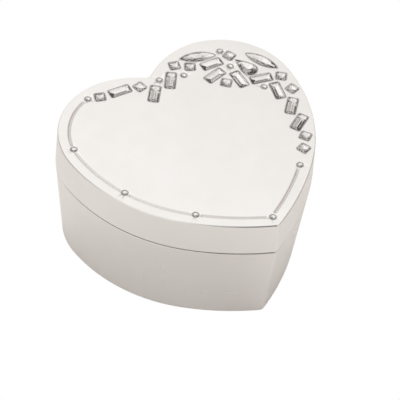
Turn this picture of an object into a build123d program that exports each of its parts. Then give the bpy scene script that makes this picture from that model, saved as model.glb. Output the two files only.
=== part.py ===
from build123d import *
import os
from math import atan2, cos, degrees, radians, sin, sqrt

os.makedirs("parts", exist_ok=True)

# Heart-shaped trinket box in plated die-cast metal: a tub, a lift-off lid set with crystals, and velvet linings.
# Millimetres. The origin is under the middle of the box, +Z is up, and the heart's tip points towards -Y.

# The heart's outline at the seam, its widest level. Each half is a run of arcs from the notch to the tip.
HEART_WIDTH = 90.0
INNER_RADIUS = 32.0  # beside the notch
LOBE_RADIUS = 26.3
SHOULDER_RADIUS = 59.4
SIDE_RADIUS = 95.2
INNER_ANGLE = 100.0  # degrees from +X where the inner arc becomes the lobe
SHOULDER_ANGLE = -1.7  # where the lobe becomes the shoulder
SIDE_ANGLE = -48.0  # where the shoulder becomes the side
NOTCH_RADIUS = 1.8
TIP_RADIUS = 2.0

# Heights above the table.
SHELL_FOOT = 0.3
SEAM_Z = 34.5
TOP_Z = 48.2

# Walls. The base narrows towards its foot, and the lid's wall leans in a little.
FOOT_INSET = 2.85
LID_LEAN = 0.45
WALL = 2.4
FLOOR = 2.2
LID_TOP = 2.6
SEAM_ROUND = 0.3
TOP_BEVEL = 0.3
FOOT_ROUND = 0.3

# The lip that stands up from the base and locates the lid.
LIP_HEIGHT = 2.5
LID_RIM = 1.1
LIP_GAP = 0.3

# Linings: velvet on card round the walls, a card and a velvet pad on the floor and in the lid.
GLUE = 0.1
WALL_LINING = 1.0
CARD = 1.0
PAD_GAP = 0.2
FLOOR_PAD = 3.2
LID_PAD = 2.2
PAD_ROUND = 1.4

# Felt under the base, in a shallow recess.
FELT = 1.0
FELT_MARGIN = 3.0
FELT_GAP = 0.1

# Engraved line on the lid.
LINE_INSET = 4.4
LINE_RADIUS = 0.55
LINE_DEPTH = 0.45
LINE_STOP = 2.2  # from a round crystal's centre to the end of the line

# Crystals.
SEAT_GAP = 0.16
GIRDLE_DROP = 0.2  # how far a girdle lies below the lid's top
ROUND_FACETS = 12
CURVE_POINTS = 6  # points on each side of a navette and round a pear's end
BLUNT = 0.35  # a navette's bluntness: 0 has pointed ends, 1 is an ellipse


def ray(angle):
    """Unit vector at an angle in degrees from +X."""
    return Vector(cos(radians(angle)), sin(radians(angle)))


def bearing(start, end):
    """Angle in degrees from +X of the line from start to end."""
    return degrees(atan2((end - start).Y, (end - start).X))


# Arc centres of the right half, with the lobe's centre on y = 0 until LOBE_Y is known.
LOBE_X = HEART_WIDTH / 2 - LOBE_RADIUS
flat_lobe = Vector(LOBE_X, 0)
flat_inner = flat_lobe - ray(INNER_ANGLE) * (INNER_RADIUS - LOBE_RADIUS)
flat_shoulder = flat_lobe - ray(SHOULDER_ANGLE) * (SHOULDER_RADIUS - LOBE_RADIUS)
flat_side = flat_shoulder - ray(SIDE_ANGLE) * (SIDE_RADIUS - SHOULDER_RADIUS)
flat_tip_y = flat_side.Y - sqrt((SIDE_RADIUS - TIP_RADIUS) ** 2 - flat_side.X**2) - TIP_RADIUS

# The outline's own box is centred on the origin.
LOBE_Y = -(LOBE_RADIUS + flat_tip_y) / 2
RISE = Vector(0, LOBE_Y)
INNER = flat_inner + RISE
LOBE = flat_lobe + RISE
SHOULDER = flat_shoulder + RISE
SIDE = flat_side + RISE
NOTCH = Vector(0, INNER.Y + sqrt((INNER_RADIUS + NOTCH_RADIUS) ** 2 - INNER.X**2))


def arc(centre, radius, start, end):
    """Arc about a centre from one angle to another."""
    angles = (start, (start + end) / 2, end)
    return Edge.make_three_point_arc(*(centre + ray(angle) * radius for angle in angles))


def half_heart(inset):
    """Arcs of the right half from the notch to the tip, drawn in by inset."""
    side_radius = SIDE_RADIUS - inset
    tip = Vector(0, SIDE.Y - sqrt((side_radius - TIP_RADIUS) ** 2 - SIDE.X**2))
    side_end = bearing(SIDE, tip)
    return [
        arc(NOTCH, NOTCH_RADIUS + inset, -90, bearing(NOTCH, INNER)),
        arc(INNER, INNER_RADIUS - inset, bearing(INNER, NOTCH), INNER_ANGLE),
        arc(LOBE, LOBE_RADIUS - inset, INNER_ANGLE, SHOULDER_ANGLE),
        arc(SHOULDER, SHOULDER_RADIUS - inset, SHOULDER_ANGLE, SIDE_ANGLE),
        arc(SIDE, side_radius, SIDE_ANGLE, side_end),
        arc(tip, TIP_RADIUS, side_end, -90),
    ]


def heart(inset, z):
    """Face of the heart drawn in by inset, at height z."""
    right = half_heart(inset)
    left = [edge.mirror(Plane.YZ) for edge in right]
    return Pos(0, 0, z) * Face(Wire(right + left))


def block(z_low, inset_low, z_high, inset_high):
    """Solid heart between two heights, with its own inset at each."""
    return loft([heart(inset_low, z_low), heart(inset_high, z_high)], ruled=True)


def prism(inset, z_low, z_high):
    """Solid heart with upright walls."""
    return extrude(heart(inset, z_low), z_high - z_low, dir=(0, 0, 1))


def base_inset(z):
    """How far the base's outside is drawn in at height z."""
    return FOOT_INSET * (SEAM_Z - z) / (SEAM_Z - SHELL_FOOT)


def lid_inset(z):
    """How far the lid's outside is drawn in at height z."""
    return LID_LEAN * (z - SEAM_Z) / (TOP_Z - SEAM_Z)


def edges_at(solid, z):
    """The solid's edges that lie wholly at height z."""
    return solid.edges().filter_by_position(Axis.Z, z - 0.001, z + 0.001)


# Base shell.
floor_z = SHELL_FOOT + FLOOR
lip_z = SEAM_Z + LIP_HEIGHT
lip_outside = LID_RIM + LIP_GAP
base_outside = block(SHELL_FOOT, FOOT_INSET, SEAM_Z, 0)
base_outside = fillet(edges_at(base_outside, SEAM_Z), SEAM_ROUND)
base_outside = fillet(edges_at(base_outside, SHELL_FOOT), FOOT_ROUND)
lip = prism(lip_outside, SEAM_Z - 1, lip_z)
base_hollow = block(floor_z, base_inset(floor_z) + WALL, SEAM_Z, WALL)
lip_hollow = prism(WALL, SEAM_Z, lip_z)
felt_inset = FOOT_INSET + FELT_MARGIN
felt_recess = prism(felt_inset, SHELL_FOOT, FELT)
base_shell = base_outside + lip - base_hollow - lip_hollow - felt_recess

# Lid shell, before its seats are cut.
rim_z = SEAM_Z + LIP_HEIGHT + LIP_GAP
ceiling_z = TOP_Z - LID_TOP
lid_outside = block(SEAM_Z, 0, TOP_Z, LID_LEAN)
lid_outside = chamfer(edges_at(lid_outside, TOP_Z), TOP_BEVEL)
lid_outside = fillet(edges_at(lid_outside, SEAM_Z), SEAM_ROUND)
rebate = prism(LID_RIM, SEAM_Z, rim_z)
lid_hollow = block(rim_z, lid_inset(rim_z) + WALL, ceiling_z, lid_inset(ceiling_z) + WALL)
lid_shell = lid_outside - rebate - lid_hollow


# Crystal outlines, with the long way along X.
def clipped_rectangle(length, width, clip):
    """Rectangle with its corners cut at 45 degrees."""
    x, y = length / 2, width / 2
    quarter = [(x, y - clip), (x - clip, y)]
    top = quarter + [(-px, py) for px, py in reversed(quarter)]
    return top + [(-px, -py) for px, py in top]


def circle_outline(radius):
    """Regular polygon round a circle's centre."""
    turn = 360 / ROUND_FACETS
    return [tuple(ray(turn * (i + 0.5)) * radius)[:2] for i in range(ROUND_FACETS)]


def navette_outline(length, width):
    """Two bowed sides that meet in a blunt point at each end."""
    top = []
    for i in range(CURVE_POINTS):
        turn = ray(180 * i / CURVE_POINTS)
        bow = BLUNT * turn.Y + (1 - BLUNT) * turn.Y**2
        top.append((length / 2 * turn.X, width / 2 * bow))
    return top + [(-x, -y) for x, y in top]


def pear_outline(length, width):
    """Round end towards +X and a point towards -X, joined by gently bowed sides."""
    radius = width / 2
    centre = length / 2 - radius
    point = (-length / 2, 0)
    reach = centre - point[0]
    meet = 90 + 25
    round_end = [(centre + radius * cos(radians(a)), radius * sin(radians(a)))
                 for a in (meet * (i / CURVE_POINTS) for i in range(CURVE_POINTS + 1))]
    start = round_end[-1]
    bow = 0.07 * reach
    side = []
    for i in (1, 2):
        t = i / 3
        side.append((start[0] + (point[0] - start[0]) * t, start[1] * (1 - t) + bow * 4 * t * (1 - t) / 2))
    upper = round_end + side
    lower = [(x, -y) for x, y in reversed(upper[1:])]
    return upper + [point] + lower


def scaled(points, share):
    """The same outline at a share of its size."""
    return [(x * share, y * share) for x, y in points]


def outline_face(points, z):
    """Flat polygon through the points, at height z."""
    return Pos(0, 0, z) * make_face(Polyline(*points, close=True))


def gem(girdle, table, back, crown, rim, pavilion):
    """Faceted stone with its girdle's top at z = 0."""
    top = loft([outline_face(girdle, 0), outline_face(table, crown)], ruled=True)
    middle = extrude(outline_face(girdle, -rim), rim, dir=(0, 0, 1))
    bottom = loft([outline_face(back, -rim - pavilion), outline_face(girdle, -rim)], ruled=True)
    return top + middle + bottom


def rectangular_gem(length, width):
    """Step-cut stone with a long table."""
    clip, bevel, slope = 0.45, 0.8, 1.2
    girdle = clipped_rectangle(length, width, clip)
    table = clipped_rectangle(length - 2 * bevel, width - 2 * bevel, clip * 0.7)
    back = clipped_rectangle(length - 2 * slope, width - 2 * slope, clip * 0.5)
    return girdle, gem(girdle, table, back, 0.6, 0.3, 1.1)


def curved_gem(girdle, crown, rim, pavilion):
    """Stone whose table and back keep the outline's shape."""
    return girdle, gem(girdle, scaled(girdle, 0.6), scaled(girdle, 0.45), crown, rim, pavilion)


SHAPES = {
    "round": curved_gem(circle_outline(1.2), 0.45, 0.2, 0.6),
    "square": rectangular_gem(3.9, 3.9),
    "baguette": rectangular_gem(8.0, 3.9),
    "navette": curved_gem(navette_outline(13.0, 4.5), 0.9, 0.3, 1.1),
    "pear": curved_gem(pear_outline(9.6, 5.8), 1.0, 0.3, 1.1),
}
SEAT_DEPTH = {"round": 1.0, "square": 1.6, "baguette": 1.6, "navette": 1.6, "pear": 1.6}

# Each crystal's x and y from the middle between the lobes' centres, and its long way's angle from +X.
# The first six round crystals lie on the engraved line, in order from the left lobe round the tip.
PLACES = {
    "round": [
        (-23.8, 21.2, 0), (-40.2, 3.9, 0), (-35.9, -21.1, 0), (-21.0, -41.1, 0), (0.4, -55.0, 0),
        (21.6, -40.8, 0), (2.3, 16.3, 0), (10.9, 13.9, 0), (28.4, 17.3, 0), (27.4, 9.4, 0), (32.0, -4.8, 0),
    ],
    "square": [
        (-19.7, 19.9, -22), (-5.3, 17.0, 10), (10.7, 19.5, -17), (15.1, 16.3, -30), (30.0, 13.8, 22),
        (21.7, 3.5, 45), (40.1, -3.6, -40), (39.9, -10.5, 15), (30.9, -31.0, 34), (27.1, -35.3, 19),
    ],
    "baguette": [
        (-12.3, 18.8, -6), (-2.7, 11.7, 49), (5.6, 14.2, 52), (22.4, 13.6, -5), (20.2, 8.4, 11),
        (26.6, 2.6, 86), (33.4, -1.0, -15), (35.0, -8.6, 75), (35.0, -17.1, 45), (32.8, -24.7, 29),
    ],
    "navette": [(20.1, 19.0, -21), (38.5, 6.1, -64)],
    "pear": [(32.0, 6.6, -76)],
}

# Cut the engraved line between neighbouring round crystals.
line_half = half_heart(LINE_INSET)
line_path = Wire([edge.mirror(Plane.YZ) for edge in line_half] + line_half[3:])
line_ends = [Vector(x, y + LOBE_Y) for x, y, angle in PLACES["round"][:6]]
line_stones = [line_path.closest_points(Vertex(end))[0] for end in line_ends]
for first, second in zip(line_stones, line_stones[1:]):
    ends = sorted(line_path.param_at_point(stone) for stone in (first, second))
    stop = LINE_STOP / line_path.length
    stretch = line_path.trim(ends[0] + stop, ends[1] - stop)
    cutter = sweep(Plane(stretch @ 0, z_dir=stretch % 0) * Circle(LINE_RADIUS), path=stretch)
    cutter += Pos(*(stretch @ 0)) * Sphere(LINE_RADIUS) + Pos(*(stretch @ 1)) * Sphere(LINE_RADIUS)
    lid_shell -= Pos(0, 0, TOP_Z + LINE_RADIUS - LINE_DEPTH) * cutter

# Crystals and their seats.
for shape, places in PLACES.items():
    girdle, stone = SHAPES[shape]
    seat = offset(outline_face(girdle, TOP_Z - SEAT_DEPTH[shape]), SEAT_GAP, kind=Kind.INTERSECTION)
    seat = extrude(seat, SEAT_DEPTH[shape] + 1, dir=(0, 0, 1))
    for number, (x, y, angle) in enumerate(places, 1):
        spot = Pos(x, y + LOBE_Y) * Rot(0, 0, angle)
        lid_shell -= spot * seat
        name = f"{shape}_crystal_{number}" if len(places) > 1 else f"{shape}_crystal"
        export_step(spot * Pos(0, 0, TOP_Z - GIRDLE_DROP) * stone, f"parts/{name}.step")

# Linings.
lining_top = lip_z - 0.6
low = base_inset(floor_z) + WALL + GLUE
high = WALL + GLUE
base_wall_lining = block(floor_z, low, lining_top, high)
base_wall_lining -= block(floor_z, low + WALL_LINING, lining_top, high + WALL_LINING)
pad_inset = low + WALL_LINING + PAD_GAP
card_z = floor_z + CARD
base_floor_card = prism(pad_inset, floor_z, card_z)
base_floor_pad = prism(pad_inset, card_z, card_z + FLOOR_PAD)
base_floor_pad = fillet(edges_at(base_floor_pad, card_z + FLOOR_PAD), PAD_ROUND)

lid_lining_foot = rim_z + 0.3
low = lid_inset(lid_lining_foot) + WALL + GLUE
high = lid_inset(ceiling_z) + WALL + GLUE
lid_wall_lining = block(lid_lining_foot, low, ceiling_z, high)
lid_wall_lining -= block(lid_lining_foot, low + WALL_LINING, ceiling_z, high + WALL_LINING)
pad_inset = high + WALL_LINING + PAD_GAP
card_z = ceiling_z - CARD
lid_card = prism(pad_inset, card_z, ceiling_z)
lid_pad = prism(pad_inset, card_z - LID_PAD, card_z)
lid_pad = fillet(edges_at(lid_pad, card_z - LID_PAD), PAD_ROUND)

underside_felt = prism(felt_inset + FELT_GAP, 0, FELT)

PIECES = {
    "base_shell": base_shell,
    "base_wall_lining": base_wall_lining,
    "base_floor_card": base_floor_card,
    "base_floor_pad": base_floor_pad,
    "underside_felt": underside_felt,
    "lid_shell": lid_shell,
    "lid_wall_lining": lid_wall_lining,
    "lid_card": lid_card,
    "lid_pad": lid_pad,
}
for name, solid in PIECES.items():
    export_step(solid, f"parts/{name}.step")
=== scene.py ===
import math

import bmesh
import bpy
from mathutils import Matrix, Vector, geometry


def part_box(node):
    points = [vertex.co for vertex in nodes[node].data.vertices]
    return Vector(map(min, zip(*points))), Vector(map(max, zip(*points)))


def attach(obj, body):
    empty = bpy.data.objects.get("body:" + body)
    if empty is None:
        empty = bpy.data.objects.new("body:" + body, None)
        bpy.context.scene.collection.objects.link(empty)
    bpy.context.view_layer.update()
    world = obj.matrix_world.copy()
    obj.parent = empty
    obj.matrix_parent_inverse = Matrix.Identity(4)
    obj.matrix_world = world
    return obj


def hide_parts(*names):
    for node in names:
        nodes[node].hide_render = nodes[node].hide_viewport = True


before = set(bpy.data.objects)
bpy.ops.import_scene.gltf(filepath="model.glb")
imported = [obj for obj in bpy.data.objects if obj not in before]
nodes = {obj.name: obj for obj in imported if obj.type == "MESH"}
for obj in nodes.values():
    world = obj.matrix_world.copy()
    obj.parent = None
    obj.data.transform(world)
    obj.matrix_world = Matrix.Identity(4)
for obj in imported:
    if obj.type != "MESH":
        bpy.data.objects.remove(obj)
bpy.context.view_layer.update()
scene = bpy.context.scene

# ---------------------------------------------------------------- sizes, in millimetres
MM = 0.001
HEART_WIDTH = 90.0
INNER_RADIUS = 32.0
LOBE_RADIUS = 26.3
SHOULDER_RADIUS = 59.4
SIDE_RADIUS = 95.2
INNER_ANGLE = 100.0
SHOULDER_ANGLE = -1.7
SIDE_ANGLE = -48.0
NOTCH_RADIUS = 1.8
TIP_RADIUS = 2.0
ARC_STEPS = (6, 12, 36, 18, 26, 8)  # notch, inner, lobe, shoulder, side, tip

SHELL_FOOT = 0.3
SEAM_Z = 34.5
TOP_Z = 48.2
FOOT_INSET = 2.85
LID_LEAN = 0.45
WALL = 2.4
FLOOR_Z = 2.5
CEILING_Z = 45.6
LIP_Z = 37.0
LIP_OUTSIDE = 1.4
LID_RIM = 1.1
RIM_Z = 37.3
SEAM_UNDERCUT = 1.05  # the shadow line where the lid meets the base
SEAM_GAP = 0.5
TOP_BEVEL = 0.3
FELT = 1.0
FELT_INSET = FOOT_INSET + 3.0
FELT_ROUND = 0.25
GLUE = 0.1
WALL_LINING = 1.0
PAD_ROUND = 1.3
FLAT_AHEAD = 5.0  # a point this far in along a flat face guides the round at its corner, and is then dropped

LINE_INSET = 4.4
LINE_STOP = 2.2
LINE_STONES = 6
SEAT_GAP = 0.16
GIRDLE_DROP = 0.2

METAL_CREASE = 38  # degrees between faces above which an edge stays sharp
LINING_CREASE = 60
FELT_CREASE = 50
FLAT_WEIGHT = 80  # how strongly large faces set the normals beside them

# ---------------------------------------------------------------- the heart's outline


def ray(angle):
    """Unit vector in plan at an angle in degrees from +X."""
    return Vector((math.cos(math.radians(angle)), math.sin(math.radians(angle))))


def bearing(start, end):
    """Angle in degrees from +X of the line from start to end."""
    return math.degrees(math.atan2(end.y - start.y, end.x - start.x))


LOBE_X = HEART_WIDTH / 2 - LOBE_RADIUS
flat_lobe = Vector((LOBE_X, 0))
flat_inner = flat_lobe - ray(INNER_ANGLE) * (INNER_RADIUS - LOBE_RADIUS)
flat_shoulder = flat_lobe - ray(SHOULDER_ANGLE) * (SHOULDER_RADIUS - LOBE_RADIUS)
flat_side = flat_shoulder - ray(SIDE_ANGLE) * (SIDE_RADIUS - SHOULDER_RADIUS)
flat_tip_y = flat_side.y - math.sqrt((SIDE_RADIUS - TIP_RADIUS) ** 2 - flat_side.x**2) - TIP_RADIUS
LOBE_Y = -(LOBE_RADIUS + flat_tip_y) / 2
RISE = Vector((0, LOBE_Y))
INNER, LOBE, SHOULDER, SIDE = (centre + RISE for centre in (flat_inner, flat_lobe, flat_shoulder, flat_side))
NOTCH = Vector((0, INNER.y + math.sqrt((INNER_RADIUS + NOTCH_RADIUS) ** 2 - INNER.x**2)))


def heart(inset):
    """Plan points of the heart drawn in by inset, from the notch round the right side to the tip and back."""
    side_radius = SIDE_RADIUS - inset
    tip = Vector((0, SIDE.y - math.sqrt((side_radius - TIP_RADIUS) ** 2 - SIDE.x**2)))
    side_end = bearing(SIDE, tip)
    arcs = (
        (NOTCH, NOTCH_RADIUS + inset, -90, bearing(NOTCH, INNER)),
        (INNER, INNER_RADIUS - inset, bearing(INNER, NOTCH), INNER_ANGLE),
        (LOBE, LOBE_RADIUS - inset, INNER_ANGLE, SHOULDER_ANGLE),
        (SHOULDER, SHOULDER_RADIUS - inset, SHOULDER_ANGLE, SIDE_ANGLE),
        (SIDE, side_radius, SIDE_ANGLE, side_end),
        (tip, TIP_RADIUS, side_end, -90),
    )
    right = []
    for (centre, radius, start, end), steps in zip(arcs, ARC_STEPS):
        right += [centre + ray(start + (end - start) * i / steps) * radius for i in range(steps)]
    right.append(tip + ray(-90) * TIP_RADIUS)
    left = [Vector((-p.x, p.y)) for p in reversed(right[1:-1])]
    return right + left


def base_inset(z):
    """How far the base's outside is drawn in at height z."""
    return FOOT_INSET * (SEAM_Z - z) / (SEAM_Z - SHELL_FOOT)


def lid_inset(z):
    """How far the lid's outside is drawn in at height z."""
    return LID_LEAN * (z - SEAM_Z) / (TOP_Z - SEAM_Z)


def rounded(corner, before, after, radius, steps=4):
    """Profile points that round a corner between its two neighbours, each point an (inset, z) pair."""
    corner, before, after = Vector(corner), Vector(before), Vector(after)
    a = corner + (before - corner).normalized() * radius
    b = corner + (after - corner).normalized() * radius
    points = []
    for i in range(steps + 1):
        t = i / steps
        points.append(tuple(a * (1 - t) ** 2 + corner * 2 * t * (1 - t) + b * t**2))
    return points


def profile(points, rounds):
    """(inset, z) pairs with the corners in rounds, {place in points: radius}, rounded."""
    out = []
    for i, point in enumerate(points):
        if i in rounds:
            out += rounded(point, points[i - 1], points[(i + 1) % len(points)], rounds[i])
        else:
            out.append(point)
    return out


# ---------------------------------------------------------------- mesh helpers


def add_ring(bm, points, z):
    """Adds plan points in millimetres as vertices at height z and returns them."""
    return [bm.verts.new((p[0] * MM, p[1] * MM, z * MM)) for p in points]


def bridge(bm, lower, upper, material=0):
    """Joins two rings of the same length with quads."""
    count = len(lower)
    for i in range(count):
        j = (i + 1) % count
        face = bm.faces.new((lower[i], lower[j], upper[j], upper[i]))
        face.material_index = material


def stack(bm, rings, material=0):
    """Joins each ring to the next."""
    for lower, upper in zip(rings, rings[1:]):
        bridge(bm, lower, upper, material)


def loop_edges(bm, ring):
    """The edges round a ring, made where they are missing."""
    found = []
    for i, vert in enumerate(ring):
        other = ring[(i + 1) % len(ring)]
        found.append(bm.edges.get((vert, other)) or bm.edges.new((vert, other)))
    return found


def fill(bm, *rings, material=0):
    """Fills the flat area inside the first ring and outside the others with triangles."""
    edges = [edge for ring in rings for edge in loop_edges(bm, ring)]
    made = bmesh.ops.triangle_fill(bm, use_beauty=True, use_dissolve=False, edges=edges, normal=(0, 0, 1))
    for part in made["geom"]:
        if isinstance(part, bmesh.types.BMFace):
            part.material_index = material


def heart_rings(bm, levels):
    """A ring of the heart for each (inset, z) pair."""
    return [add_ring(bm, heart(inset), z) for inset, z in levels]


def finish_mesh(name, bm, materials, body, replaces=(), crease=None):
    """Makes the object, shades it smooth up to the crease angle, and puts it on its CAD body."""
    bmesh.ops.recalc_face_normals(bm, faces=bm.faces)
    mesh = bpy.data.meshes.new(name)
    bm.to_mesh(mesh)
    bm.free()
    for material in materials:
        mesh.materials.append(material)
    obj = bpy.data.objects.new(name, mesh)
    scene.collection.objects.link(obj)
    if crease is not None:
        mesh.shade_smooth()
        mesh.set_sharp_from_angle(angle=math.radians(crease))
        weights = obj.modifiers.new("flat faces stay flat", "WEIGHTED_NORMAL")
        weights.keep_sharp = True
        weights.weight = FLAT_WEIGHT
    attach(obj, body)
    if replaces:
        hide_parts(*replaces)
    return obj


# ---------------------------------------------------------------- materials


def new_material(name):
    """A material with one Principled shader, and its node tree and shader."""
    material = bpy.data.materials.new(name)
    material.use_nodes = True
    tree = material.node_tree
    return material, tree, tree.nodes["Principled BSDF"]


def add_noise(tree, scale, detail=3.0, roughness=0.5, stretch=(1, 1, 1)):
    """Noise in object space, scale in cycles per metre."""
    place = tree.nodes.new("ShaderNodeTexCoord")
    mapping = tree.nodes.new("ShaderNodeMapping")
    mapping.inputs["Scale"].default_value = stretch
    noise = tree.nodes.new("ShaderNodeTexNoise")
    noise.inputs["Scale"].default_value = scale
    noise.inputs["Detail"].default_value = detail
    noise.inputs["Roughness"].default_value = roughness
    tree.links.new(place.outputs["Object"], mapping.inputs["Vector"])
    tree.links.new(mapping.outputs["Vector"], noise.inputs["Vector"])
    return noise.outputs["Fac"]


def add_ramp(tree, fac, stops):
    """Colour ramp from (position, colour) stops."""
    ramp = tree.nodes.new("ShaderNodeValToRGB")
    elements = ramp.color_ramp.elements
    while len(elements) < len(stops):
        elements.new(0.5)
    for element, (position, colour) in zip(elements, stops):
        element.position = position
        element.color = (*colour, 1)
    tree.links.new(fac, ramp.inputs["Fac"])
    return ramp.outputs["Color"]


NOISE_LOW, NOISE_HIGH = 0.3, 0.7  # most of a noise lies between these


def add_tones(tree, shader, noise, low, high):
    """Base colour that goes from low to high with the noise."""
    colour = add_ramp(tree, noise, [(NOISE_LOW, low), (NOISE_HIGH, high)])
    tree.links.new(colour, shader.inputs["Base Color"])


def add_roughness(tree, shader, noise, low, high):
    """Roughness that goes from low to high with the noise."""
    node = tree.nodes.new("ShaderNodeMapRange")
    node.inputs["From Min"].default_value = NOISE_LOW
    node.inputs["From Max"].default_value = NOISE_HIGH
    node.inputs["To Min"].default_value = low
    node.inputs["To Max"].default_value = high
    tree.links.new(noise, node.inputs["Value"])
    tree.links.new(node.outputs["Result"], shader.inputs["Roughness"])


def add_bump(tree, shader, height, strength, distance):
    """Bump from a height field, distance in metres."""
    bump = tree.nodes.new("ShaderNodeBump")
    bump.inputs["Strength"].default_value = strength
    bump.inputs["Distance"].default_value = distance
    tree.links.new(height, bump.inputs["Height"])
    tree.links.new(bump.outputs["Normal"], shader.inputs["Normal"])


def plated_metal():
    """Satin nickel plate: warm white metal with faint cloudiness and a fine polish grain."""
    material, tree, shader = new_material("plated_metal")
    cloud = add_noise(tree, 35, 2.0)
    add_tones(tree, shader, cloud, (0.885, 0.868, 0.85), (0.905, 0.892, 0.876))
    shader.inputs["Metallic"].default_value = 1.0
    smears = add_noise(tree, 160, 4.0, 0.6)
    add_roughness(tree, shader, smears, 0.27, 0.33)
    add_bump(tree, shader, add_noise(tree, 2600, 2.0), 0.02, 0.00001)
    return material


def engraved_shaded_metal():
    """The same plate in the engraved line, left matt, in a darker, warmer tone that is painted shade in the
    groove.
    """
    material, tree, shader = new_material("engraved_shaded_metal")
    scratches = add_noise(tree, 500, 3.0)
    # darker and warmer than the plate: painted shade in the groove, with random tone over it
    add_tones(tree, shader, scratches, (0.79, 0.76, 0.745), (0.84, 0.81, 0.795))
    shader.inputs["Metallic"].default_value = 1.0
    add_roughness(tree, shader, scratches, 0.42, 0.5)
    return material


def crystal_glass():
    """Clear crystal glass with faint wipe marks in its polish."""
    material, tree, shader = new_material("crystal_glass")
    shader.inputs["Base Color"].default_value = (0.995, 0.995, 1.0, 1)
    shader.inputs["Transmission Weight"].default_value = 1.0
    shader.inputs["IOR"].default_value = 1.5
    wipes = add_noise(tree, 900, 3.0, 0.6)
    add_roughness(tree, shader, wipes, 0.0, 0.03)
    return material


def crystal_foil():
    """Silver foil lacquered on a crystal's back, a little tarnished."""
    material, tree, shader = new_material("crystal_foil")
    tarnish = add_noise(tree, 700, 3.0)
    add_tones(tree, shader, tarnish, (0.82, 0.80, 0.79), (0.90, 0.885, 0.875))
    shader.inputs["Metallic"].default_value = 1.0
    add_roughness(tree, shader, tarnish, 0.06, 0.12)
    return material


def shaded_cement():
    """Grey epoxy that holds the crystals. Its grey also stands in for the shadow in the gap round each stone,
    so it is partly painted shade.
    """
    material, tree, shader = new_material("shaded_cement")
    grain = add_noise(tree, 2200, 3.0)
    # grey partly for the glue and partly as painted shade in the gap round each stone
    add_tones(tree, shader, grain, (0.38, 0.365, 0.355), (0.50, 0.485, 0.47))
    shader.inputs["Roughness"].default_value = 0.55
    return material


def velvet():
    """Black cotton velvet: a dark short pile that is brushed in soft patches."""
    material, tree, shader = new_material("velvet")
    brushed = add_noise(tree, 70, 3.0, 0.55)
    add_tones(tree, shader, brushed, (0.010, 0.010, 0.012), (0.030, 0.030, 0.034))
    shader.inputs["Roughness"].default_value = 0.9
    shader.inputs["Sheen Weight"].default_value = 0.6
    shader.inputs["Sheen Roughness"].default_value = 0.35
    shader.inputs["Sheen Tint"].default_value = (0.75, 0.76, 0.8, 1)
    add_bump(tree, shader, add_noise(tree, 4200, 2.0, 0.7), 0.5, 0.0002)
    return material


def felt():
    """Black wool felt with short tangled fibres."""
    material, tree, shader = new_material("felt")
    fibres = add_noise(tree, 1500, 5.0, 0.7, stretch=(1, 2.2, 1))
    add_tones(tree, shader, fibres, (0.018, 0.018, 0.02), (0.055, 0.055, 0.06))
    shader.inputs["Roughness"].default_value = 1.0
    add_bump(tree, shader, fibres, 0.7, 0.0002)
    return material


def card():
    """Grey mounting board with flecks of pulp."""
    material, tree, shader = new_material("card")
    flecks = add_noise(tree, 1200, 4.0, 0.7)
    add_tones(tree, shader, flecks, (0.27, 0.245, 0.21), (0.36, 0.335, 0.295))
    shader.inputs["Roughness"].default_value = 0.9
    add_bump(tree, shader, flecks, 0.4, 0.0001)
    return material


METAL, ENGRAVED_SHADED, GLASS, FOIL, SHADED_CEMENT, VELVET, FELT_CLOTH, CARD_BOARD = (
    plated_metal(), engraved_shaded_metal(), crystal_glass(), crystal_foil(), shaded_cement(), velvet(), felt(), card())

# ---------------------------------------------------------------- crystals


def crystal_nodes():
    """Names of the crystal nodes, with the numbered ones in order."""
    def order(name):
        kind, number = name.split("_")[0], name.split("_")[-1]
        return kind, int(number) if number.isdigit() else 0

    return sorted((name for name in nodes if "_crystal" in name), key=order)


def read_crystal(name):
    """Kind, centre, long way, half length and half width of a packed crystal, in millimetres."""
    kind = name.split("_")[0]
    flat = [Vector((v.co.x, v.co.y)) / MM for v in nodes[name].data.vertices]
    hull = [flat[i] for i in geometry.convex_hull_2d(flat)]
    pairs = [(b - a) for a, b in zip(hull, hull[1:] + hull[:1])]
    if kind in ("navette", "pear"):
        pairs = [b - a for a in hull for b in hull]
    along = max(pairs, key=lambda pair: pair.length).normalized()
    if kind == "pear":
        middle = sum(hull, Vector((0, 0))) / len(hull)
        ends = [(p - middle).dot(along) for p in hull]
        if -min(ends) < max(ends):  # the point is the end farther from the hull's middle, and lies at -along
            along = -along
    across = Vector((-along.y, along.x))
    spans = [(min(p.dot(way) for p in hull), max(p.dot(way) for p in hull)) for way in (along, across)]
    centre = along * sum(spans[0]) / 2 + across * sum(spans[1]) / 2
    return {"kind": kind, "centre": centre, "along": along, "across": across,
            "half_length": (spans[0][1] - spans[0][0]) / 2, "half_width": (spans[1][1] - spans[1][0]) / 2}


def clipped_rectangle(half_length, half_width, clip):
    """Eight points, with the corners cut at 45 degrees."""
    x, y = half_length, half_width
    top = [(x, y - clip), (x - clip, y), (clip - x, y), (-x, y - clip)]
    return top + [(-px, -py) for px, py in top]


def circle(radius, count):
    """Regular polygon."""
    return [tuple(ray(360 * (i + 0.5) / count) * radius) for i in range(count)]


def navette(half_length, half_width, steps):
    """Two bowed sides that meet in a blunt point at each end."""
    top = []
    for i in range(steps):
        turn = ray(180 * i / steps)
        bow = BLUNT * turn.y + (1 - BLUNT) * turn.y**2
        top.append((half_length * turn.x, half_width * bow))
    return top + [(-x, -y) for x, y in top]


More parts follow.
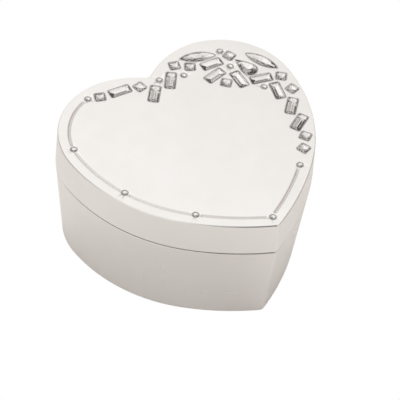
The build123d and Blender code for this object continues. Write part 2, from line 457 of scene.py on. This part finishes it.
def pear(half_length, half_width, steps):
    """Round end at +X and a point at -X, joined by gently bowed sides."""
    centre = half_length - half_width
    start = Vector((centre, 0)) + ray(PEAR_MEET) * half_width
    point = Vector((-half_length, 0))
    control = (start + point) / 2 + Vector(PEAR_BOW)
    upper = [Vector((centre, 0)) + ray(PEAR_MEET * i / steps) * half_width for i in range(steps)]
    side_steps = max(2, steps // 2)
    for i in range(side_steps):
        t = i / side_steps
        upper.append(start * (1 - t) ** 2 + control * 2 * t * (1 - t) + point * t**2)
    lower = [Vector((p.x, -p.y)) for p in reversed(upper[1:])]
    return [tuple(p) for p in upper + [point] + lower]


def scaled(points, share):
    """The outline at a share of its size."""
    return [(x * share, y * share) for x, y in points]


def midpoints(points, share):
    """Middles of the outline's edges, at a share of its size."""
    pairs = zip(points, points[1:] + points[:1])
    return [((a[0] + b[0]) / 2 * share, (a[1] + b[1]) / 2 * share) for a, b in pairs]


def placed(crystal, points):
    """Local points of a crystal in plan."""
    return [crystal["centre"] + crystal["along"] * x + crystal["across"] * y for x, y in points]


def zigzag(bm, ring, between, material):
    """Joins a ring to one whose points lie between its own, with triangles."""
    count = len(ring)
    for i in range(count):
        j = (i + 1) % count
        for corners in ((ring[i], ring[j], between[i]), (between[i], ring[j], between[j])):
            bm.faces.new(corners).material_index = material


GLASS_SIDE, FOIL_SIDE = 0, 1  # places of a crystal's materials
BLUNT = 0.35  # a navette's bluntness: 0 has pointed ends, 1 is an ellipse
PEAR_MEET = 115  # degrees round from a pear's round end to where its sides begin
PEAR_BOW = (0.2, 0.55)  # how far the middle of a side's guide stands out from a straight line
ROUND_GROWTH = 1.02  # a many-sided round stone's corners stand a little outside its CAD circle
CORNER_CUT = 0.45
STEP_CROWN = ((0.0, 0.0, CORNER_CUT), (0.34, 0.34, 0.38), (0.86, 0.60, 0.26))  # inset, rise, corner cut
STEP_PAVILION = ((0.0, 0.0, CORNER_CUT), (0.75, 0.36, 0.3), (1.85, 0.66, 0.03))  # inset, fall, corner cut
BRILLIANT = {  # crown rise, rim, pavilion fall, points
    "round": (0.36, 0.10, 0.24, 10),
    "navette": (0.70, 0.20, 0.70, 7),
    "pear": (0.90, 0.25, 0.85, 7),
}
STAR_SIZE, STAR_RISE = 0.84, 0.6  # shares of the outline and of the crown where the kites' lower corners lie
TABLE_SIZE = 0.56
BACK_SIZE, BACK_FALL = 0.55, 0.55  # the same behind the stone
KEEL_LENGTH, KEEL_WIDTH = 0.3, 0.03
RIM = 0.25


def step_cut(bm, crystal, girdle_z):
    """Rectangular stone with two crown steps and a keel behind."""
    length, width = crystal["half_length"], crystal["half_width"]

    def level(inset, clip, z):
        return add_ring(bm, placed(crystal, clipped_rectangle(length - inset, width - inset, clip)), z)

    crown = [level(inset, clip, girdle_z + rise) for inset, rise, clip in STEP_CROWN]
    back = [level(inset, clip, girdle_z - RIM - fall) for inset, fall, clip in STEP_PAVILION]
    stack(bm, crown, GLASS_SIDE)
    bm.faces.new(crown[-1]).material_index = GLASS_SIDE
    bridge(bm, back[0], crown[0], FOIL_SIDE)
    stack(bm, back, FOIL_SIDE)
    bm.faces.new(back[-1]).material_index = FOIL_SIDE


def crystal_outline(crystal, points):
    """The girdle of a round, navette or pear stone, with so many points on each arc."""
    if crystal["kind"] == "round":
        return circle(crystal["half_width"] * ROUND_GROWTH, points)
    shape = navette if crystal["kind"] == "navette" else pear
    return shape(crystal["half_length"], crystal["half_width"], points)


def brilliant_cut(bm, crystal, girdle_z):
    """Stone with kite facets round its table and behind it."""
    rise, rim, fall, points = BRILLIANT[crystal["kind"]]
    outline = crystal_outline(crystal, points)

    def level(local, z):
        return add_ring(bm, placed(crystal, local), z)

    girdle = level(outline, girdle_z)
    stars = level(midpoints(outline, STAR_SIZE), girdle_z + rise * STAR_RISE)
    table = level(scaled(outline, TABLE_SIZE), girdle_z + rise)
    zigzag(bm, girdle, stars, GLASS_SIDE)
    count = len(table)
    for i in range(count):
        j = (i + 1) % count
        for corners in ((stars[i], table[j], table[i]), (stars[i], stars[j], table[j])):
            bm.faces.new(corners).material_index = GLASS_SIDE
    bm.faces.new(table).material_index = GLASS_SIDE
    rim_ring = level(outline, girdle_z - rim)
    bridge(bm, rim_ring, girdle, FOIL_SIDE)
    mid = level(midpoints(outline, BACK_SIZE), girdle_z - rim - fall * BACK_FALL)
    zigzag(bm, rim_ring, mid, FOIL_SIDE)
    keel = level([(x * KEEL_LENGTH, y * KEEL_WIDTH) for x, y in outline], girdle_z - rim - fall)
    for i in range(count):
        j = (i + 1) % count
        for corners in ((mid[i], keel[j], keel[i]), (mid[i], mid[j], keel[j])):
            bm.faces.new(corners).material_index = FOIL_SIDE
    bm.faces.new(keel).material_index = FOIL_SIDE


CRYSTALS = {name: read_crystal(name) for name in crystal_nodes()}
for name, crystal in CRYSTALS.items():
    bm = bmesh.new()
    cut = step_cut if crystal["kind"] in ("square", "baguette") else brilliant_cut
    cut(bm, crystal, TOP_Z - GIRDLE_DROP)
    finish_mesh(name + "_cut", bm, [GLASS, FOIL], "lid", [name])

# ---------------------------------------------------------------- lid shell

SEAT_DEPTH = {"round": 1.0, "square": 1.6, "baguette": 1.6, "navette": 1.6, "pear": 1.6}
SEAT_EDGE = ((0.06, 0.0), (0.02, -0.02), (0.0, -0.06))  # outset, height
ROUND_SEAT_STEPS, SEAT_STEPS = 28, 14
# the cement's grey band round each stone is partly painted shade
SHADED_CEMENT_DEPTH = 0.06
SHADED_CEMENT_WIDTH = 0.38  # from the seat's wall in over the stone's edge
LEAST_COSINE = 0.5  # keeps an outline's sharp corners from spiking when it is moved out
# half width and height of the engraved line's rings
LINE_SECTION = ((0.62, 0.0), (0.57, -0.025), (0.34, -0.19), (0.12, -0.35), (0.04, -0.39))


def corner_ways(points):
    """For each point of a convex outline, the way out and its cosine to the way out of an edge there."""
    count = len(points)
    area = sum(points[i].x * points[(i + 1) % count].y - points[(i + 1) % count].x * points[i].y
               for i in range(count))
    turn = 1 if area > 0 else -1
    ways = []
    for i in range(count):
        before = (points[i] - points[i - 1]).normalized()
        after = (points[(i + 1) % count] - points[i]).normalized()
        normal_a = Vector((before.y, -before.x)) * turn
        normal_b = Vector((after.y, -after.x)) * turn
        middle = (normal_a + normal_b).normalized()
        ways.append((middle, middle.dot(normal_a)))
    return ways


def grown(points, outset):
    """A convex outline with its edges moved out by outset."""
    return [point + way * (outset / max(cosine, LEAST_COSINE))
            for point, (way, cosine) in zip(points, corner_ways(points))]


PLATE_SIDE, SHADED_CEMENT_SIDE, LINE_SIDE = 0, 1, 2  # places of the lid shell's materials


def seat_outline(crystal):
    """Edge of a crystal's seat at the lid's top, before its edge is eased."""
    if crystal["kind"] in ("square", "baguette"):
        local = clipped_rectangle(crystal["half_length"], crystal["half_width"], CORNER_CUT)
    elif crystal["kind"] == "round":
        local = circle(crystal["half_width"] * ROUND_GROWTH, ROUND_SEAT_STEPS)
    else:
        local = crystal_outline(crystal, SEAT_STEPS)
    return grown(placed(crystal, local), SEAT_GAP)


def cut_seat(bm, crystal):
    """Adds a seat's walls and floor and returns its edge ring in the lid's top."""
    outline = seat_outline(crystal)
    rings = []
    for outset, z in SEAT_EDGE:
        edge = grown(outline, outset) if outset else outline
        rings.append(add_ring(bm, edge, TOP_Z + z))
    stack(bm, rings, PLATE_SIDE)
    inner = [point - way * SHADED_CEMENT_WIDTH for point, (way, _) in zip(outline, corner_ways(outline))]
    # the cement ring, seat walls and seat floor take the grey that is partly painted shade round the stone
    shaded_cement = add_ring(bm, inner, TOP_Z - SHADED_CEMENT_DEPTH)
    foot = add_ring(bm, inner, TOP_Z - SEAT_DEPTH[crystal["kind"]])
    stack(bm, [rings[-1], shaded_cement, foot], SHADED_CEMENT_SIDE)
    bm.faces.new(foot).material_index = SHADED_CEMENT_SIDE
    return rings[0]


def line_path():
    """Plan points of the engraved line's middle, from the notch down the left side, round the tip and up."""
    ring = heart(LINE_INSET)
    return [ring[0]] + list(reversed(ring[1:]))


def stretch_of(path, first, last, spacing=1.0):
    """Evenly spaced points of the path between two distances along it, with their directions."""
    lengths = [0.0]
    for a, b in zip(path, path[1:]):
        lengths.append(lengths[-1] + (b - a).length)
    count = max(2, round((last - first) / spacing))
    points = []
    for k in range(count + 1):
        want = first + (last - first) * k / count
        i = next(i for i in range(len(lengths) - 1) if lengths[i + 1] >= want)
        share = (want - lengths[i]) / (lengths[i + 1] - lengths[i])
        points.append(path[i].lerp(path[i + 1], share))
    ways = []
    for k in range(len(points)):
        ways.append((points[min(k + 1, count)] - points[max(k - 1, 0)]).normalized())
    return points, ways


def distance_along(path, point):
    """How far along the path its nearest point to a given one lies."""
    best, travelled, found = None, 0.0, 0.0
    for a, b in zip(path, path[1:]):
        step = b - a
        t = min(max((point - a).dot(step) / step.length_squared, 0), 1)
        gap = (a + step * t - point).length
        if best is None or gap < best:
            best, found = gap, travelled + step.length * t
        travelled += step.length
    return found


def capsule(points, ways, half_width, end_steps=6):
    """Outline at half_width round a path, with round ends."""
    sides = [(p, Vector((-w.y, w.x))) for p, w in zip(points, ways)]
    left = [p + n * half_width for p, n in sides]
    right = [p - n * half_width for p, n in sides]
    last, first = [], []
    for k in range(1, end_steps):
        angle = math.pi * k / end_steps
        for out, (p, n), way in ((last, sides[-1], ways[-1]), (first, sides[0], -ways[0])):
            sign = 1 if out is last else -1
            out.append(p + (n * sign * math.cos(angle) + way * math.sin(angle)) * half_width)
    return left + last + list(reversed(right)) + first


def cut_line(bm, points, ways):
    """Adds one stretch of the engraved line and returns its edge ring."""
    rings = [add_ring(bm, capsule(points, ways, w), TOP_Z + z) for w, z in LINE_SECTION]
    stack(bm, rings, LINE_SIDE)
    fill(bm, rings[-1], material=LINE_SIDE)
    return rings[0]


def make_lid_shell():
    """Ceiling, walls, seam and top, with the seats and the engraved line cut into the top."""
    bm = bmesh.new()
    outline = [
        (lid_inset(CEILING_Z) + WALL, CEILING_Z),
        (lid_inset(RIM_Z) + WALL, RIM_Z),
        (LID_RIM, RIM_Z),
        (LID_RIM, SEAM_Z),
        (SEAM_UNDERCUT, SEAM_Z),
        (SEAM_UNDERCUT, SEAM_Z + SEAM_GAP),
        (0.0, SEAM_Z + SEAM_GAP),
        (lid_inset(TOP_Z - TOP_BEVEL), TOP_Z - TOP_BEVEL),
        (LID_LEAN + TOP_BEVEL, TOP_Z),
    ]
    levels = profile(outline, {1: 0.3, 6: 0.2})
    rings = heart_rings(bm, levels)
    fill(bm, rings[0])
    stack(bm, rings)
    holes = [cut_seat(bm, crystal) for crystal in CRYSTALS.values()]
    path = line_path()
    stones = [CRYSTALS[f"round_crystal_{i + 1}"]["centre"] for i in range(LINE_STONES)]
    marks = [distance_along(path, stone) for stone in stones]
    for start, end in zip(marks, marks[1:]):
        holes.append(cut_line(bm, *stretch_of(path, start + LINE_STOP, end - LINE_STOP)))
    fill(bm, rings[-1], *holes)
    finish_mesh("lid_shell_plated", bm, [METAL, SHADED_CEMENT, ENGRAVED_SHADED], "lid", ["lid_shell"],
                crease=METAL_CREASE)


make_lid_shell()

# ---------------------------------------------------------------- base shell


def make_base_shell():
    """The felt's recess, foot, walls, lip and floor."""
    bm = bmesh.new()
    outline = [
        (FELT_INSET, FELT),
        (FELT_INSET, SHELL_FOOT),
        (FOOT_INSET, SHELL_FOOT),
        (0.0, SEAM_Z),
        (LIP_OUTSIDE, SEAM_Z),
        (LIP_OUTSIDE, LIP_Z),
        (WALL, LIP_Z),
        (WALL, SEAM_Z),
        (base_inset(FLOOR_Z) + WALL, FLOOR_Z),
        (base_inset(FLOOR_Z) + WALL + FLAT_AHEAD, FLOOR_Z),
    ]
    levels = profile(outline, {1: 0.2, 2: 0.3, 3: 0.3, 5: 0.25, 6: 0.25, 8: 0.6})[:-1]
    rings = heart_rings(bm, levels)
    fill(bm, rings[0])
    stack(bm, rings)
    fill(bm, rings[-1])
    finish_mesh("base_shell_plated", bm, [METAL], "base", ["base_shell"], crease=METAL_CREASE)


make_base_shell()

# ---------------------------------------------------------------- linings


def make_strip(name, node, body, low, low_z, high, high_z):
    """Velvet-covered strip round a wall, its inner edges turned over softly."""
    bm = bmesh.new()
    outline = [
        (low, low_z),
        (high, high_z),
        (high + WALL_LINING, high_z),
        (low + WALL_LINING, low_z),
    ]
    levels = profile(outline, {0: 0.35, 1: 0.45, 2: 0.45, 3: 0.35})
    rings = heart_rings(bm, levels)
    stack(bm, rings + rings[:1])
    strip = finish_mesh(name, bm, [VELVET], body, [node], crease=LINING_CREASE)
    middle = heart((low + high + WALL_LINING) / 2)


base_low = base_inset(FLOOR_Z) + WALL + GLUE
base_high = WALL + GLUE
BASE_LINING_TOP = 36.4
make_strip("base_lining_velvet", "base_wall_lining", "base", base_low, FLOOR_Z, base_high, BASE_LINING_TOP)
LID_LINING_FOOT = 37.6
lid_low = lid_inset(LID_LINING_FOOT) + WALL + GLUE
lid_high = lid_inset(CEILING_Z) + WALL + GLUE
make_strip("lid_lining_velvet", "lid_wall_lining", "lid", lid_low, LID_LINING_FOOT, lid_high, CEILING_Z)


def make_pad(name, node, body, faces_up):
    """Velvet over foam: a closed heart that swells a little under cloth pressure."""
    low, high = (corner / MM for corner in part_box(node))
    inset = HEART_WIDTH / 2 - high.x
    bm = bmesh.new()
    if faces_up:
        outline = [(inset, low.z), (inset, high.z), (inset + FLAT_AHEAD, high.z)]
        levels = profile(outline, {1: PAD_ROUND})[:-1]
    else:
        outline = [(inset + FLAT_AHEAD, low.z), (inset, low.z), (inset, high.z)]
        levels = profile(outline, {1: PAD_ROUND})[1:]
    rings = heart_rings(bm, levels)
    fill(bm, rings[0])
    stack(bm, rings)
    fill(bm, rings[-1])
    pad = finish_mesh(name, bm, [VELVET], body, [node])
    swell(pad, low.z * MM, high.z * MM, faces_up)


VOXEL = 0.0016  # metres, as MOST_SWELL is
MOST_SWELL = 0.0011
SWELL_FRAMES = 14
PRESSURE = 4.0
HELD_HEIGHT, FREE_HEIGHT = 0.15, 0.65  # swelling sets in between these shares of the height
SIDE_SWELL = 0.15  # share of the sideways swelling that the walls round the pad leave


def swell(pad, low_z, high_z, faces_up):
    """Remeshes the pad and lets cloth pressure crown it, with its glued side kept flat."""
    remesh = pad.modifiers.new("even faces", "REMESH")
    remesh.mode = "VOXEL"
    remesh.voxel_size = VOXEL
    take_modifiers(pad)
    before = [v.co.copy() for v in pad.data.vertices]
    cloth = pad.modifiers.new("velvet over foam", "CLOTH")
    cloth.settings.use_pressure = True
    cloth.settings.uniform_pressure_force = PRESSURE
    cloth.settings.effector_weights.gravity = 0.0
    cloth.settings.quality = 5
    for step in range(1, SWELL_FRAMES + 1):
        scene.frame_set(step)
    take_modifiers(pad)
    scene.frame_set(1)
    glued = low_z if faces_up else high_z
    for vert, old in zip(pad.data.vertices, before):
        move = vert.co - old
        if move.length > MOST_SWELL:
            move *= MOST_SWELL / move.length
        height = abs(old.z - glued) / (high_z - low_z)
        move *= min(max((height - HELD_HEIGHT) / (FREE_HEIGHT - HELD_HEIGHT), 0), 1)
        move.x *= SIDE_SWELL
        move.y *= SIDE_SWELL
        vert.co = old + move
    pad.data.shade_smooth()


def take_modifiers(obj):
    """Replaces an object's mesh with what its modifiers make of it."""
    graph = bpy.context.evaluated_depsgraph_get()
    mesh = bpy.data.meshes.new_from_object(obj.evaluated_get(graph), depsgraph=graph)
    obj.modifiers.clear()
    obj.data = mesh


make_pad("base_floor_pad_velvet", "base_floor_pad", "base", True)
make_pad("lid_pad_velvet", "lid_pad", "lid", False)


def make_felt():
    """The felt under the base, glued flat in its recess."""
    low, high = (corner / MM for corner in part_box("underside_felt"))
    inset = HEART_WIDTH / 2 - high.x
    bm = bmesh.new()
    outline = [(inset + FLAT_AHEAD, low.z), (inset, low.z), (inset, high.z)]
    rings = heart_rings(bm, profile(outline, {1: FELT_ROUND})[1:])
    fill(bm, rings[0])
    stack(bm, rings)
    fill(bm, rings[-1])
    cloth = finish_mesh("underside_felt_cloth", bm, [FELT_CLOTH], "base", ["underside_felt"],
                        crease=FELT_CREASE)
    points = heart(inset)


make_felt()

for name in ("base_floor_card", "lid_card"):
    nodes[name].data.materials.clear()
    nodes[name].data.materials.append(CARD_BOARD)

# ---------------------------------------------------------------- floor, light and camera

CAMERA_AIM = Vector((9.66, 13.0, 0.0)) * MM
CAMERA_AZIMUTH = -38.1
CAMERA_ELEVATION = 49.0
CAMERA_ROLL = 5.55
CAMERA_DISTANCE = 0.7954
CAMERA_LENS = 199.07


def make_camera():
    """A long lens above the tip's left, rolled a little."""
    azimuth, elevation, roll = (math.radians(a) for a in (CAMERA_AZIMUTH, CAMERA_ELEVATION, CAMERA_ROLL))
    back = Vector((math.sin(azimuth) * math.cos(elevation), -math.cos(azimuth) * math.cos(elevation),
                   math.sin(elevation)))
    right = Vector((0, 0, 1)).cross(back).normalized()
    up = back.cross(right)
    right, up = (right * math.cos(roll) + up * math.sin(roll), up * math.cos(roll) - right * math.sin(roll))
    data = bpy.data.cameras.new("camera")
    data.lens = CAMERA_LENS
    data.sensor_width = 36.0
    camera = bpy.data.objects.new("camera", data)
    turn = Matrix((right, up, back)).transposed().to_4x4()
    camera.matrix_world = Matrix.Translation(CAMERA_AIM + back * CAMERA_DISTANCE) @ turn
    scene.collection.objects.link(camera)
    scene.camera = camera


make_camera()


def make_floor():
    """White sweep: plain white to the camera, and a pale warm grey in what the metal mirrors."""
    bm = bmesh.new()
    bmesh.ops.create_grid(bm, x_segments=2, y_segments=2, size=3.0)
    mesh = bpy.data.meshes.new("floor")
    bm.to_mesh(mesh)
    bm.free()
    floor = bpy.data.objects.new("floor", mesh)
    scene.collection.objects.link(floor)
    material = bpy.data.materials.new("floor")
    material.use_nodes = True
    tree = material.node_tree
    tree.nodes.clear()
    out = tree.nodes.new("ShaderNodeOutputMaterial")
    mix = tree.nodes.new("ShaderNodeMixShader")
    path = tree.nodes.new("ShaderNodeLightPath")
    paper = tree.nodes.new("ShaderNodeBsdfDiffuse")
    paper.inputs["Color"].default_value = (0.87, 0.845, 0.825, 1)
    white = tree.nodes.new("ShaderNodeEmission")
    white.inputs["Color"].default_value = (1, 1, 1, 1)
    white.inputs["Strength"].default_value = 1.0
    tree.links.new(path.outputs["Is Camera Ray"], mix.inputs["Fac"])
    tree.links.new(paper.outputs["BSDF"], mix.inputs[1])
    tree.links.new(white.outputs["Emission"], mix.inputs[2])
    tree.links.new(mix.outputs["Shader"], out.inputs["Surface"])
    mesh.materials.append(material)


make_floor()


# Parts of the studio round the box: azimuth from +X and elevation of the middle, how far out it is full and
# where it has faded out, all in degrees, and its colour.
STUDIO = {
    "back wall": (48, 14, 20, 46, (0.56, 0.54, 0.525)),
    "right wall": (-12, 12, 20, 45, (0.50, 0.46, 0.43)),
    "left wall": (138, 30, 16, 38, (0.50, 0.46, 0.43)),
    "dark doorway": (-102, 30, 11, 31, (0.02, 0.02, 0.02)),
    "overhead": (108, 72, 24, 52, (1.18, 1.17, 1.155)),
    "ceiling": (90, 90, 8, 26, (0.84, 0.83, 0.815)),
}


def towards(azimuth, elevation):
    """Unit vector from the box."""
    azimuth, elevation = math.radians(azimuth), math.radians(elevation)
    flat = math.cos(elevation)
    return Vector((math.cos(azimuth) * flat, math.sin(azimuth) * flat, math.sin(elevation)))


def add_patch(tree, direction, below, azimuth, elevation, full, gone, colour):
    """A soft round patch of the world's colour over what is below it."""
    dot = tree.nodes.new("ShaderNodeVectorMath")
    dot.operation = "DOT_PRODUCT"
    dot.inputs[1].default_value = towards(azimuth, elevation)
    tree.links.new(direction, dot.inputs[0])
    share = tree.nodes.new("ShaderNodeMapRange")
    share.interpolation_type = "SMOOTHSTEP"
    share.inputs["From Min"].default_value = math.cos(math.radians(gone))
    share.inputs["From Max"].default_value = math.cos(math.radians(full))
    tree.links.new(dot.outputs["Value"], share.inputs["Value"])
    mix = tree.nodes.new("ShaderNodeMix")
    mix.data_type = "RGBA"
    tree.links.new(share.outputs["Result"], mix.inputs["Factor"])
    tree.links.new(below, mix.inputs["A"])
    mix.inputs["B"].default_value = (*colour, 1)
    return mix.outputs["Result"]


def make_world():
    """A pale room, brighter overhead, with the studio's parts on it."""
    world = bpy.data.worlds.new("studio")
    scene.world = world
    world.use_nodes = True
    tree = world.node_tree
    background = tree.nodes["Background"]
    place = tree.nodes.new("ShaderNodeTexCoord")
    split = tree.nodes.new("ShaderNodeSeparateXYZ")
    tree.links.new(place.outputs["Generated"], split.inputs["Vector"])
    colour = add_ramp(tree, split.outputs["Z"], [(0.0, (0.62, 0.59, 0.57)), (0.3, (0.78, 0.755, 0.735)),
                                                (0.6, (0.95, 0.93, 0.915)), (1.0, (0.98, 0.97, 0.96))])
    for part in STUDIO.values():
        colour = add_patch(tree, place.outputs["Generated"], colour, *part)
    tree.links.new(colour, background.inputs["Color"])
    background.inputs["Strength"].default_value = 1.0


make_world()


def add_softbox(name, azimuth, elevation, distance, size, power, mirrored):
    """Square area light that points at the box, with a choice whether polished things mirror it."""
    data = bpy.data.lights.new(name, "AREA")
    data.size = size
    data.energy = power
    light = bpy.data.objects.new(name, data)
    way = towards(azimuth, elevation)
    light.location = way * distance
    light.rotation_euler = way.to_track_quat("Z", "Y").to_euler()
    light.visible_glossy = mirrored
    light.visible_transmission = mirrored
    scene.collection.objects.link(light)


add_softbox("key", azimuth=48, elevation=50, distance=1.2, size=0.7, power=2.6, mirrored=False)

scene.view_settings.view_transform = "Standard"
